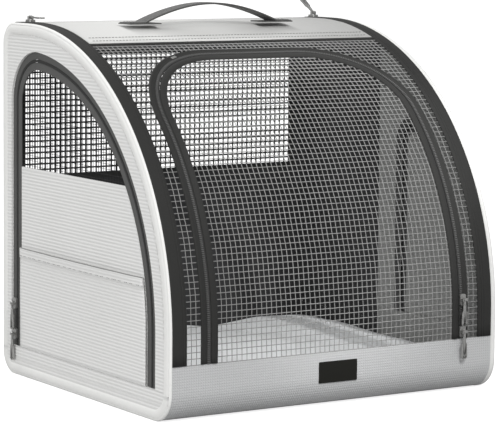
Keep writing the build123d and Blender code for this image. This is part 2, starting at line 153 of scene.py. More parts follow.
def addBump(m, source, output, strength, distance):
    bump = node(m.node_tree, "ShaderNodeBump", {"Strength": strength, "Distance": distance})
    link(m.node_tree, source, output, bump, "Height")
    link(m.node_tree, bump, "Normal", shader(m), "Normal")


# a weave of ribs or squares: a height and a soft stain, shared by the cloths
def weaveGroup():
    tree = bpy.data.node_groups.new("clothWeave", "ShaderNodeTree")
    for axis in "XYZ":
        tree.interface.new_socket("Pitch " + axis, in_out="INPUT", socket_type="NodeSocketFloat")
    for name in ("Ribs", "Soil"):
        tree.interface.new_socket(name, in_out="OUTPUT", socket_type="NodeSocketFloat")
    start = node(tree, "NodeGroupInput")
    end = node(tree, "NodeGroupOutput")
    axes = objectAxes(tree)
    ribs = None
    for axis in "XYZ":
        wave = calc(tree, "COSINE", calc(tree, "MULTIPLY", (axes, axis), (start, "Pitch " + axis)))
        ribs = calc(tree, "MINIMUM", ribs, wave) if ribs else wave
    fine = objectNoise(tree, 900, 3)
    link(tree, *calc(tree, "MULTIPLY_ADD", (fine, "Fac"), 0.35, ribs), end, "Ribs")
    link(tree, objectNoise(tree, 9, 5), "Fac", end, "Soil")
    return tree


weave = weaveGroup()


# pitch is the weave's step along x, y and z, or one step for all three; line is painted shade that darkens
# the colour in its grooves
def clothMaterial(name, light, dark, pitch, bump, deep, roughness=0.85, sheen=0.1, line=0.0, specular=0.5):
    m = newMaterial(name, light, roughness, 0.0, sheen, specular)
    tree = m.node_tree
    cloth = node(tree, "ShaderNodeGroup", node_tree=weave)
    steps = pitch if isinstance(pitch, tuple) else (pitch, pitch, pitch)
    for axis, step in zip("XYZ", steps):
        cloth.inputs["Pitch " + axis].default_value = math.tau / step if step else 0.0
    # painted shade: the low grooves of the weave are mixed towards this darker colour by the rib height
    groove = (*[c * 0.55 for c in dark], 1)
    grooveShadeRange = {"From Min": -1.0, "From Max": 0.2, "To Min": line, "To Max": 0.0}
    stain = node(tree, "ShaderNodeMapRange", {"From Min": 0.45, "From Max": 0.8, "To Max": 0.35})
    soiled = node(tree, "ShaderNodeMix", {"A": (*light, 1), "B": (*dark, 1)}, data_type="RGBA")
    shade = node(tree, "ShaderNodeMapRange", grooveShadeRange)
    grooveShaded = node(tree, "ShaderNodeMix", {"B": groove}, data_type="RGBA")
    link(tree, cloth, "Soil", stain, "Value")
    link(tree, stain, "Result", soiled, "Factor")
    link(tree, cloth, "Ribs", shade, "Value")
    link(tree, shade, "Result", grooveShaded, "Factor")
    link(tree, soiled, "Result", grooveShaded, "A")
    link(tree, grooveShaded, "Result", shader(m), "Base Color")
    addBump(m, cloth, "Ribs", bump, deep)
    return m


whiteRib = clothMaterial(
    "whiteRibbedCloth", (0.76, 0.76, 0.75), (0.70, 0.70, 0.68), (0, 0, 0.0045), 0.42, 0.0005, line=0.18)
whitePlain = clothMaterial(
    "whitePlainCloth", (0.80, 0.80, 0.785), (0.74, 0.74, 0.72), 0.0011, 0.25, 0.0002)
topCloth = clothMaterial(
    "whiteTopCloth", (0.65, 0.65, 0.637), (0.59, 0.59, 0.572), (0.0012, 0.0012, 0), 0.3, 0.0002)
stripCloth = clothMaterial(
    "gridStripCloth", (0.55, 0.555, 0.56), (0.50, 0.505, 0.51), (0.0034, 0, 0.0034), 0.5, 0.0004, line=0.22)
darkTape = clothMaterial(
    "darkZipTape", (0.03, 0.03, 0.029), (0.023, 0.023, 0.022), 0.0016,
    0.35, 0.0003, 0.75, 0.03, specular=0.15)
darkLining = clothMaterial(
    "darkLining", (0.022, 0.022, 0.023), (0.014, 0.014, 0.015), 0.0011, 0.3, 0.0002, 0.8, 0.15)
netThread = clothMaterial(
    "netThread", (0.28, 0.28, 0.275), (0.22, 0.22, 0.215), 0.0012, 0.3, 0.0002, 0.55, 0.2)
netBack = clothMaterial(
    "netBack", (0.03, 0.03, 0.03), (0.02, 0.02, 0.02), 0.0012, 0.3, 0.0002, 0.7, 0.0, specular=0.15)
webbing = clothMaterial(
    "greyWebbing", (0.075, 0.075, 0.072), (0.05, 0.05, 0.048), (0.0022, 0.0016, 0),
    0.6, 0.0005, 0.75, 0.2, line=0.4)
plush = clothMaterial(
    "cushionPlush", (0.78, 0.79, 0.80), (0.66, 0.68, 0.70), 0.0018, 0.4, 0.0006, 0.95, 0.4)
threadWhite = clothMaterial("stitchThread", (0.62, 0.62, 0.60), (0.52, 0.52, 0.5), 0.0009, 0.4, 0.0002)
# dark stitch thread, also the colour of the painted shadow strip in the pocket's mouth
darkThreadAndShadow = clothMaterial("seamShadow", (0.24, 0.24, 0.235), (0.2, 0.2, 0.195), 0.0009, 0.4, 0.0002)
threadGrey = clothMaterial("greyThread", (0.16, 0.16, 0.155), (0.12, 0.12, 0.12), 0.0009, 0.4, 0.0002)
boardGrey = clothMaterial("boardGrey", (0.3, 0.29, 0.27), (0.25, 0.24, 0.22), (0.002, 0.002, 0), 0.2, 0.0002)
sideTape = clothMaterial(
    "sideZipTape", (0.085, 0.085, 0.083), (0.065, 0.065, 0.064), 0.0016, 0.35, 0.0003, 0.75, 0.03)
# painted shadow: colour of the dark bands inside the right door and wall, where the front door's zip band
# casts its shadow
zipBandShadow = clothMaterial(
    "zipBandShadow", (0.075, 0.075, 0.074), (0.055, 0.055, 0.054), 0.0014, 0.35, 0.0003, 0.8, 0.0)
coilBlack = newMaterial("coilBlack", (0.055, 0.055, 0.054), 0.65, specular=0.25)
coilGrey = newMaterial("coilGrey", (0.095, 0.095, 0.093), 0.5)
patchBlack = newMaterial("patchBlack", (0.012, 0.012, 0.010), 0.7, specular=0.15)
addBump(patchBlack, objectNoise(patchBlack.node_tree, 700), "Fac", 0.2, 0.0002)


# the rings of a zip coil as a bump along it
def coilTeeth(m):
    ring = {"pitch": 0.0019, "strength": 0.9, "deep": 0.0007}
    tree = m.node_tree
    axes = objectAxes(tree)
    along = calc(tree, "ADD", (axes, "Y"), (axes, "Z"))
    wave = calc(tree, "SINE", calc(tree, "MULTIPLY", along, math.tau / ring["pitch"]))
    addBump(m, *wave, ring["strength"], ring["deep"])


coilTeeth(coilBlack)


def wornMetal(name, color, rough):
    m = newMaterial(name, color, rough, 0.9)
    tree = m.node_tree
    wear = node(tree, "ShaderNodeMapRange", {"To Min": rough - 0.08, "To Max": rough + 0.15})
    link(tree, objectNoise(tree, 260, 6), "Fac", wear, "Value")
    link(tree, wear, "Result", shader(m), "Roughness")
    return m


zipMetal = wornMetal("gunMetal", (0.42, 0.42, 0.41), 0.36)


# the right wall inside, with painted light and shade: dark at the rear half, where the top panel's shadow
# falls, and lighter grey in front of that shadow edge, where light comes through the front net
def shadowedWallLining():
    wall = {"topShadowEdgeY": 0.03, "rear": (0.03, 0.03, 0.031, 1), "front": (0.34, 0.34, 0.33, 1)}
    m = newMaterial("shadowedWallLining", (0.05, 0.05, 0.05), 0.85, 0.0, 0.1)
    tree = m.node_tree
    shades = node(tree, "ShaderNodeMix", {"A": wall["rear"], "B": wall["front"]}, data_type="RGBA")
    # painted shadow edge: ahead of this y the cloth is coloured as lit, behind it as shaded
    ahead = calc(tree, "LESS_THAN", (objectAxes(tree), "Y"), wall["topShadowEdgeY"])
    link(tree, *ahead, shades, "Factor")
    link(tree, shades, "Result", shader(m), "Base Color")
    addBump(m, objectNoise(tree, 800), "Fac", 0.25, 0.0003)
    return m


rightLining = shadowedWallLining()


# each solid takes the material of the first word here that its name holds
def paintNodes():
    paints = [
        ("cushion", plush),
        ("floor_board", boardGrey),
        ("blank_patch", patchBlack),
        ("right_side_lining", rightLining),
        ("lining", darkLining),
        ("coil", coilBlack),
        ("left_door_tape", sideTape),
        ("left_panel_tape", sideTape),
        ("tape", darkTape),
        ("slider", zipMetal),
        ("pull", zipMetal),
        ("handle", webbing),
        ("front_base_strip", stripCloth),
        ("top_panel", topCloth),
        ("floor_sheet", topCloth),
        ("net", netThread),
        ("rim", whitePlain),
        ("", whiteRib),
    ]
    for name, o in nodes.items():
        o.data.materials.clear()
        o.data.materials.append(next(m for word, m in paints if word in name))


paintNodes()
print("materials done")


# helpers for shapes

def finishMesh(bm, name, material, body, smooth=True):
    mesh = bpy.data.meshes.new(name)
    bmesh.ops.recalc_face_normals(bm, faces=bm.faces)
    bm.to_mesh(mesh)
    bm.free()
    o = bpy.data.objects.new(name, mesh)
    scene.collection.objects.link(o)
    mesh.materials.append(material)
    for p in mesh.polygons:
        p.use_smooth = smooth
    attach(o, body)
    return o


# faces from each ring of points to the next
def joinRings(bm, rings, openRing=False, looped=False, caps=False):
    loops = [[bm.verts.new(p) for p in ring] for ring in rings]
    count = len(loops[0])
    for k in range(len(loops) if looped else len(loops) - 1):
        a, b = loops[k], loops[(k + 1) % len(loops)]
        for i in range(count - 1 if openRing else count):
            j = (i + 1) % count
            bm.faces.new((a[i], a[j], b[j], b[i]))
    if caps:
        bm.faces.new(loops[0])
        bm.faces.new(loops[-1])


# a closed section of (x, lift) along a path of (y, z, outward y, outward z), capped at both ends
def openSweep(name, path, section, material, body):
    bm = bmesh.new()
    rings = [[(x, y + ny * lift, z + nz * lift) for x, lift in section] for y, z, ny, nz in path]
    joinRings(bm, rings, caps=True)
    return finishMesh(bm, name, material, body)


def flatSection(first, last, high, low):
    return [(first, high), (last, high), (last, low), (first, low)]


# a sheet of cells; place gives the point at two shares from 0 to 1
def addGrid(name, place, columns, rows, material, body, thick=0.0):
    bm = bmesh.new()
    grid = [[bm.verts.new(place(i / columns, j / rows)) for j in range(rows + 1)] for i in range(columns + 1)]
    for i in range(columns):
        for j in range(rows):
            bm.faces.new((grid[i][j], grid[i + 1][j], grid[i + 1][j + 1], grid[i][j + 1]))
    if thick:
        bmesh.ops.recalc_face_normals(bm, faces=bm.faces)
        bmesh.ops.solidify(bm, geom=bm.faces[:], thickness=thick)
    return finishMesh(bm, name, material, body)


def addBox(bm, center, size):
    bmesh.ops.create_cube(bm, size=1, matrix=Matrix.Translation(center) @ Matrix.Diagonal((*size, 1)))


def bevelEdges(bm, edges, offset, segments):
    bmesh.ops.bevel(bm, geom=edges, offset=offset, segments=segments, profile=0.5,
                    affect="EDGES", material=-1)


# a box lying on the front shell: size is (across, along, high)
def shellBox(bm, spot, along, size):
    out = Vector((0, spot.y - arcY, spot.z - arcZ)) if spot.z > arcZ else Vector((0, -1, 0))
    across = along.cross(out).normalized()
    turn = Matrix((across, along, across.cross(along))).transposed().to_4x4()
    bmesh.ops.create_cube(bm, size=1, matrix=Matrix.Translation(spot) @ turn @ Matrix.Diagonal((*size, 1)))


# a row of stitches along a list of points on a surface
def addStitches(name, points, length, gap, radius, material, body):
    bm = bmesh.new()
    walked = 0.0
    pitch = length + gap
    here = Vector(points[0])
    for point in points[1:]:
        after = Vector(point)
        span = (after - here).length
        direction = (after - here).normalized()
        turn = direction.to_track_quat("Z", "Y").to_matrix().to_4x4()
        at = (-walked) % pitch
        while at + length < span + 1e-9:
            middle = here + direction * (at + length / 2)
            bmesh.ops.create_cone(bm, cap_ends=True, segments=6, radius1=radius, radius2=radius,
                                  depth=length, matrix=Matrix.Translation(middle) @ turn)
            at += pitch
        walked += span
        here = after
    return finishMesh(bm, name, material, body)


# an arc of the side profile as (y, z, outward y, outward z), angles in degrees from the rear
def arcPoints(centerY, centerZ, radius, first, last, steps):
    points = []
    for k in range(steps + 1):
        a = math.radians(first + (last - first) * k / steps)
        ny, nz = math.cos(a), math.sin(a)
        points.append((centerY + radius * ny, centerZ + radius * nz, ny, nz))
    return points


# the closed side profile, drawn in by the inset
def profilePoints(inset, fine=10):
    low, high = crate["frontCorner"], crate["rearCorner"]
    return (
        arcPoints(frontY + low, low, low - inset, 180, 270, fine)
        + arcPoints(flatEndY, high, high - inset, 270, 360, fine)
        + arcPoints(flatEndY, topZ - high, high - inset, 0, 90, fine)
        + arcPoints(arcY, arcZ, archRadius - inset, 90, 180, 60)
    )


# y and z on the arch, so many degrees up from the front
def archPoint(turnDegrees, lift):
    a = math.radians(turnDegrees)
    r = archRadius + lift
    return arcY - r * math.cos(a), arcZ + r * math.sin(a)


# x where the cloth between the rims ends
def clothEnd(name):
    return sides[name] * (crate[name + "Edge"] - crate[name + "Rim"] - crate["rimGap"])


# the rear end of an arched door: the centre of its upper rear corner and that corner's radius
def doorCorner(door, step):
    small = door["corner"] - step
    reach = archRadius - door["inset"] - step - small
    y = door["rear"] - step - small
    return y, arcZ + math.sqrt(reach ** 2 - (y - arcY) ** 2), small


# a net: a sheet of cells that is kept where keep says so, turned into threads
def addNet(name, place, columns, rows, keep, body, replaced, thread, material):
    bm = bmesh.new()
    points = {}

    def corner(i, j):
        if (i, j) not in points:
            points[i, j] = bm.verts.new(place(i, j))
        return points[i, j]

    for i in range(columns):
        for j in range(rows):
            if keep(i, j):
                bm.faces.new((corner(i, j), corner(i + 1, j), corner(i + 1, j + 1), corner(i, j + 1)))
    o = finishMesh(bm, name, material, body, False)
    wire = o.modifiers.new("threads", "WIREFRAME")
    wire.thickness = thread
    wire.use_even_offset = False
    wire.use_boundary = True
    wire.use_replace = True
    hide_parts(replaced)


# y and z of the front sheet, s along it from the base strip
def frontPoint(s, inset):
    straight = arcZ - crate["stripTop"]
    radius = archRadius - inset
    if s < straight:
        return frontY + inset, crate["stripTop"] + s
    turn = (s - straight) / archRadius
    return arcY - radius * math.cos(turn), arcZ + radius * math.sin(turn)


# whether a point of the front sheet lies inside the door's zip, drawn in by the step
def insideDoor(x, s, step):
    y, z = frontPoint(s, 0)
    tilt = frontDoor["tilt"]
    v = (y - arcY) * math.sin(tilt) + (z - arcZ) * math.cos(tilt)
    half = frontDoor["half"] - step
    apex = frontDoor["apex"] - step
    corner = frontDoor["corner"] - step
    if abs(x) > half or v > apex:
        return False
    cx, cv = half - corner, apex - corner
    if abs(x) > cx and v > cv:
        return math.hypot(abs(x) - cx, v - cv) < corner
    return True


def frontNets():
    net = {"cell": 0.008, "columns": 61, "thread": 0.0015, "inset": 0.0009, "sway": 0.0004,
           "surroundFrom": -0.0102, "doorUpTo": 0.0139}
    left = crate["netLow"]
    columns = net["columns"]
    stepX = (crate["netHigh"] - left) / columns
    length = arcZ - crate["stripTop"] + archRadius * math.radians(crate["topTurn"])
    rows = round(length / net["cell"])
    stepS = length / rows

    def place(i, j):
        y, z = frontPoint(j * stepS, net["inset"])
        sway = net["sway"] * math.sin(j * 0.7 + i * 0.13)
        return (left + i * stepX + (sway if 0 < i < columns else 0), y, z)

    def corners(i, j):
        return [(left + (i + a) * stepX, (j + b) * stepS) for a in (0, 1) for b in (0, 1)]

    def onSurround(i, j):
        return any(not insideDoor(x, s, net["surroundFrom"]) for x, s in corners(i, j))

    def onDoor(i, j):
        return any(insideDoor(x, s, net["doorUpTo"]) for x, s in corners(i, j))

    addNet("frontNetSurround", place, columns, rows, onSurround, "crate_cover", "front_net_surround",
           net["thread"], netThread)
    addNet("frontDoorNet", place, columns, rows, onDoor, "front_door", "front_door_net",
           net["thread"], netThread)


frontNets()


def leftWindow():
    net = {"cell": 0.0069, "thread": 0.0009, "more": 0.012, "startY": 0.006, "startZ": 0.004}
    low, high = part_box("left_door_net")
    x = (low.x + high.x) / 2
    y0, z0 = low.y - net["startY"], low.z - net["startZ"]
    wide, tall = high.y - low.y + net["more"], high.z - low.z + net["more"]
    columns, rows = round(wide / net["cell"]), round(tall / net["cell"])
    stepY, stepZ = wide / columns, tall / rows
    radius = archRadius - leftDoor["inset"] - leftDoor["window"]
    back = leftDoor["rear"] - leftDoor["window"]
    cy, cz, corner = doorCorner(leftDoor, leftDoor["window"])

    def inWindow(y, z):
        if y > back or math.hypot(y - arcY, z - arcZ) > radius and z > arcZ:
            return False
        return not (y > cy and z > cz and math.hypot(y - cy, z - cz) > corner)

    def keep(i, j):
        return all(inWindow(y0 + (i + a) * stepY, z0 + (j + b) * stepZ) for a in (0, 1) for b in (0, 1))

    addNet("leftDoorWindow", lambda i, j: (x, y0 + i * stepY, z0 + j * stepZ), columns, rows, keep,
           "left_door", "left_door_net", net["thread"], netBack)


leftWindow()


def backWindow():
    net = {"cell": 0.008, "thread": 0.0034}
    low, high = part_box("back_window_net")
    columns = round((high.x - low.x) / net["cell"])
    rows = round((high.z - low.z) / net["cell"])
    y = (low.y + high.y) / 2
    stepX = (high.x - low.x) / columns
    stepZ = (high.z - low.z) / rows
    addNet("backWindow", lambda i, j: (low.x + i * stepX, y, low.z + j * stepZ), columns, rows,
           lambda i, j: True, "crate_cover", "back_window_net", net["thread"], netBack)


backWindow()
print("nets done")


# a point on the line of the front door's zip: v is its height in the tilted plane of the opening
def zipPoint(x, v, lift):
    tilt = frontDoor["tilt"]
    foot = -archRadius * math.sin(tilt)
    if v < foot:
        return Vector((x, arcY - archRadius - lift, arcZ + (v - foot) / math.cos(tilt)))
    return Vector((x, *archPoint(math.degrees(tilt + math.asin(v / archRadius)), lift)))


# the whole line in that plane, out by so much from the coil, foot to foot
def zipLine(out, arms, turns):
    half, apex, corner = frontDoor["half"], frontDoor["apex"], frontDoor["corner"]
    tilt = frontDoor["tilt"]
    foot = -archRadius * math.sin(tilt) + (crate["stripTop"] + frontDoor["start"] - arcZ) * math.cos(tilt)
    reach = corner + out
    right = [(half + out, foot + (apex - corner - foot) * k / arms) for k in range(arms)]
    for k in range(turns + 1):
        a = math.pi / 2 * k / turns
        right.append((half - corner + reach * math.cos(a), apex - corner + reach * math.sin(a)))
    return right + [(-x, v) for x, v in reversed(right)]


# soft raised bands on both sides of the coil: each section is a list of (out from the coil, lift)
def softBands():
    frameSide = [
        (0.0006, 0.0001), (0.0030, 0.0004), (0.0055, 0.0006), (0.0068, 0.0012), (0.0080, 0.0016),
        (0.0092, 0.0015), (0.0102, 0.0009), (0.0107, -0.0002), (0.0105, -0.0010), (0.0008, -0.0010),
    ]
    doorSide = [
        (-0.0040, 0.0001), (-0.0050, 0.0009), (-0.0070, 0.0015), (-0.0095, 0.0017), (-0.0120, 0.0013),
        (-0.0136, 0.0006), (-0.0142, -0.0003), (-0.0140, -0.0010), (-0.0042, -0.0010),
    ]
    for name, section, body, replaced in (
        ("frontFrameBand", frameSide, "crate_cover", "front_frame_tape"),
        ("frontDoorBand", doorSide, "front_door", "front_door_tape"),
    ):
        lines = [[zipPoint(x, v, lift) for x, v in zipLine(out, 60, 30)] for out, lift in section]
        bm = bmesh.new()
        joinRings(bm, list(zip(*lines)), caps=True)
        o = finishMesh(bm, name, darkTape, body)
        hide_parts(replaced)


softBands()


# teeth of the coil as small bars across it
def coilBars():
    teeth = {"pitch": 0.0024, "across": 0.0034, "along": 0.0012, "high": 0.0007, "lift": 0.0004}
    spots = [zipPoint(x, v, teeth["lift"]) for x, v in zipLine(0, 150, 90)]
    bm = bmesh.new()
    walked, due = 0.0, teeth["pitch"] / 2
    for a, b in zip(spots, spots[1:]):
        span = (b - a).length
        while span > 0 and walked + span > due:
            spot = a.lerp(b, (due - walked) / span)
            shellBox(bm, spot, (b - a).normalized(), (teeth["across"], teeth["along"], teeth["high"]))
            due += teeth["pitch"]
        walked += span
    o = finishMesh(bm, "frontCoilTeeth", coilGrey, "crate_cover", False)


coilBars()


# small bright plate where the zip's ends meet, on the upper left corner of the door
def joinPlate():
    join = {"turn": 1.12, "out": 0.0045, "long": 0.009, "wide": 0.004, "thick": 0.0012, "lift": 0.0012}
    half, apex, corner = frontDoor["half"], frontDoor["apex"], frontDoor["corner"]
    reach = corner + join["out"]
    spots = []
    for turn in (join["turn"] - 0.02, join["turn"], join["turn"] + 0.02):
        x = corner - half - reach * math.cos(turn)
        spots.append(zipPoint(x, apex - corner + reach * math.sin(turn), join["lift"]))
    bm = bmesh.new()
    shellBox(bm, spots[1], (spots[2] - spots[0]).normalized(), (join["wide"], join["long"], join["thick"]))
    bevelEdges(bm, bm.edges[:], 0.0003, 2)
    o = finishMesh(bm, "zipJoinPlate", zipMetal, "crate_cover")


joinPlate()
print("front zip done")


# round rims: a section of (x, depth under the profile) swept all round it
def roundedRims():
    rim = {"round": 0.0030, "deep": 0.0032, "shoulder": 0.002, "steps": 7}
    for name, side in sides.items():
        outer = side * crate[name + "Edge"]
        inner = outer - side * crate[name + "Rim"]
        section = [(outer, rim["deep"])]
        for k in range(rim["steps"] + 1):
            a = math.pi / 2 * k / rim["steps"]
            x = outer - side * rim["round"] * (1 - math.cos(a))
            section.append((x, rim["round"] * (1 - math.sin(a))))
        section += [(inner, 0.0), (inner, rim["round"]), (outer - side * rim["shoulder"], rim["deep"])]
        bm = bmesh.new()
        rings = [[(x, y - ny * d, z - nz * d) for x, d in section] for y, z, ny, nz in profilePoints(0)]
        joinRings(bm, rings, looped=True)
        bmesh.ops.remove_doubles(bm, verts=bm.verts, dist=0.00002)
        o = finishMesh(bm, name + "Rim", whitePlain, "crate_cover")
        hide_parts(name + "_rim")


roundedRims()


# soft dark zip bands next to the rims, each with its coil's ridge between two grooves
def archBands():
    band = {"left": 0.0212, "right": 0.0226, "start": 0.0733, "sink": 0.0015, "coil": 0.2299, "ridge": 0.0012,
            "base": -0.0002, "puff": 0.0009, "edge": 0.08, "rise": 0.0002, "groove": 0.0006, "steps": 42}

    def lift(x, t):
        puff = band["base"] + band["puff"] * min(1, min(t, 1 - t) / band["edge"])
        away = abs(abs(x) - band["coil"]) / band["ridge"]
        if away < 1:
            return puff + band["rise"] * (1 + math.cos(math.pi * away))
        if away < 2:
            return puff - band["groove"] * math.sin(math.pi * (away - 1))
        return puff

    path = [(frontY, band["start"], -1.0, 0.0), (frontY, (band["start"] + arcZ) / 2, -1.0, 0.0)]
    path += arcPoints(arcY, arcZ, archRadius, 180, 90, 70)
    path.append((flatEndY, topZ, 0.0, 1.0))
    for name, side in sides.items():
        outer = clothEnd(name)
        section = []
        for k in range(band["steps"] + 1):
            t = k / band["steps"]
            x = outer - side * band[name] * t
            section.append((x, lift(x, t)))
        section += [(outer - side * band[name], -band["sink"]), (outer, -band["sink"])]
        o = openSweep(name + "ArchBand", path, section, darkTape, "crate_cover")
        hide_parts(name + "_arch_rim_tape", name + "_arch_coil", name + "_arch_net_tape")


archBands()


# round the upper rear corner, from the top to the back
def rearTopPath():
    corner = crate["rearCorner"]
    return arcPoints(flatEndY, topZ - corner, corner, 90, 0, 10)


# base strip round the lower front edge
def baseStrip():
    strip = {"out": -0.0005, "in": -0.0028, "levels": (0.05, 0.066, 0.0715),
             "lip": (-0.2247, 0.073, -1.0, 0.0)}
    corner = crate["frontCorner"]
    left, right = clothEnd("left"), clothEnd("right")
    path = [(crate["underEdge"], 0.0, 0.0, -1.0)]
    path += arcPoints(frontY + corner, corner, corner, 270, 180, 12)
    path += [(frontY, z, -1.0, 0.0) for z in strip["levels"]] + [strip["lip"]]
    section = flatSection(left, right, strip["out"], strip["in"])
    o = openSweep("baseStrip", path, section, stripCloth, "crate_cover")
    for p in o.data.polygons:
        p.use_smooth = False
    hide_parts("front_base_strip")


baseStrip()


# the top cloth with its hemmed front edge, the cloth behind it and the binding of the net
def topSheets():
    top = {"fromLeft": 0.0214, "fromRight": 0.0228, "thick": 0.0014, "edgeLift": 0.0006,
           "hemLift": 0.0004, "hemSteps": 9, "flat": (0.17, 0.1945),
           "binding": 1.0, "bindingLift": 0.0005, "bindingThick": 0.0012}
    left, right = clothEnd("left"), clothEnd("right")
    first, last = left + top["fromLeft"], right - top["fromRight"]
    path = []
    for k, (y, z, ny, nz) in enumerate(arcPoints(arcY, arcZ, archRadius, 180 - crate["topTurn"], 90, 14)):
        lift = top["hemLift"] if k < top["hemSteps"] else 0.0
        if k == 0:
            lift = top["edgeLift"]
        path.append((y + ny * lift, z + nz * lift, ny, nz))
    path += [(y, topZ, 0.0, 1.0) for y in top["flat"]]
    o = openSweep("topCloth", path, flatSection(first, last, 0.0, -top["thick"]), topCloth, "crate_cover")
    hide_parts("top_panel")
    path = rearTopPath()
    o = openSweep("rearTopCloth", path, flatSection(left, right, 0.0, -top["thick"]), topCloth, "crate_cover")

    def bindingPoint(u, v):
        x = crate["netLow"] + (crate["netHigh"] - crate["netLow"]) * u
        return (x, *archPoint(crate["topTurn"] - top["binding"] * (1 - v), top["bindingLift"]))

    o = addGrid("topBinding", bindingPoint, 40, 2, darkTape, "crate_cover", top["bindingThick"])


topSheets()


# strips along the rims behind the arch, and dark bindings in the rear corners inside
def edgeFill():
    edge = {"under": 0.0005, "inner": 0.2419, "high": -0.0001, "low": -0.0030}
    binding = {"x": 0.2390, "y": 0.221885, "z": 0.24, "size": (0.006, 0.0004, 0.414)}
    corner = crate["rearCorner"]
    path = rearTopPath() + arcPoints(flatEndY, corner, corner, 0, -90, 10)
    path.append((crate["underEdge"], 0.0, 0.0, -1.0))
    for name, side in sides.items():
        outer = clothEnd(name) + side * edge["under"]
        section = flatSection(outer, side * edge["inner"], edge["high"], edge["low"])
        o = openSweep(name + "EdgeBinding", path, section, whitePlain, "crate_cover")
        bm = bmesh.new()
        addBox(bm, (side * binding["x"], binding["y"], binding["z"]), binding["size"])
        o = finishMesh(bm, name + "CornerBinding", darkLining, "crate_cover", False)


edgeFill()


# cloth over the fold lines of the side panels, outside and inside
def foldSkins():
    cloth = {"startY": -0.2205, "long": 0.441, "skinX": 0.2502, "under": 0.008,
             "wallX": 0.2418, "wallLong": 0.444, "foot": 0.0062, "inset": 0.0038,
             "bendX": 0.2421, "bendUnder": 0.004, "bendHigh": 0.012}
    folds = {
        "left": {"low": 0.032, "high": 0.036, "over": 0.003, "lining": darkLining},
        "right": {"low": 0.060, "high": 0.064, "over": 0.010, "lining": rightLining},
    }
    frontR, rearR = crate["frontCorner"], crate["rearCorner"]

    # how far a rounded lower corner reaches out at this height
    def cornerReach(radius, z):
        return math.sqrt(max((radius - cloth["inset"]) ** 2 - max(radius - z, 0) ** 2, 0))

    def bentSheet(name, x, foot, high, steps, material):
        o = addGrid(name, lambda u, v: (x, cloth["startY"] + cloth["long"] * u, foot + high * v),
                    *steps, material, "crate_cover")
        o.parent = None
        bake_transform(o)

    for side, fold in folds.items():
        sign = sides[side]
        foot = fold["low"] - cloth["under"]
        high = fold["high"] + fold["over"] - foot
        bentSheet(side + "FoldSkin", sign * cloth["skinX"], foot, high,
                  (40, 12), whiteRib)
        tall = fold["low"] - cloth["foot"]

        def wallPoint(u, v):
            z = cloth["foot"] + tall * v
            first = frontY + frontR - cornerReach(frontR, z)
            last = flatEndY + cornerReach(rearR, z)
            return (sign * cloth["wallX"], first + (last - first) * u, z)

        wall = addGrid(side + "BandLining", wallPoint, 30, 8, fold["lining"], "crate_cover")
        bentSheet(side + "FoldLining", sign * cloth["bendX"], fold["low"] - cloth["bendUnder"],
                  cloth["bendHigh"], (30, 10), fold["lining"])


foldSkins()


# smooth border ring of each side, cut at the fold: its lower part stays with the fixed band
def sideBorders():
    border = {"inset": 0.0036, "leftFoot": 0.0363, "rightFoot": 0.0643, "gap": 0.0045,
              "section": [(0.0, 0.0), (0.0007, 0.0012), (0.0009, 0.005), (0.0008, 0.0098), (0.0, 0.0112)]}
    x = crate["panelX"]

    def ring(name, side, foot, body, upper):
        rings = []
        for y, z, ny, nz in profilePoints(border["inset"], 14):
            rings.append([(side * (x + lift), y - ny * d, z - nz * d) for lift, d in border["section"]])
        bm = bmesh.new()
        joinRings(bm, rings, openRing=True, looped=True)
        bmesh.ops.bisect_plane(bm, geom=bm.verts[:] + bm.edges[:] + bm.faces[:], plane_co=(0, 0, foot),
                               plane_no=(0, 0, 1), clear_inner=upper, clear_outer=not upper)
        finishMesh(bm, name, whitePlain, body)

    for name, side in sides.items():
        foot = border[name + "Foot"]
        ring(name + "Border", side, foot, name + "_side", True)
        ring(name + "BorderLow", side, foot - border["gap"], "crate_cover", False)


sideBorders()


def seams():
    top = {"turns": (71.6, 73.4), "half": 0.217, "lift": 0.0007, "stitch": (0.0030, 0.0020, 0.00046)}
    ring = {"inset": 0.0154, "x": 0.2501, "left": 0.04, "right": 0.068, "stitch": (0.0034, 0.0006, 0.00032)}
    for k, turn in enumerate(top["turns"]):
        y, z = archPoint(turn, top["lift"])
        line = [(-top["half"], y, z), (top["half"], y, z)]
        o = addStitches("topStitch%d" % k, line, *top["stitch"], darkThreadAndShadow, "crate_cover")
    for name, side in sides.items():
        whole = [(side * ring["x"], y, z) for y, z, *_ in profilePoints(ring["inset"], 14)]
        above = [point for point in whole if point[2] > ring[name]]
        start = next(k for k, point in enumerate(above) if point[1] > 0)
        line = above[start:] + above[:start]
        o = addStitches(name + "SeamStitch", line, *ring["stitch"], threadWhite, name + "_side")


seams()


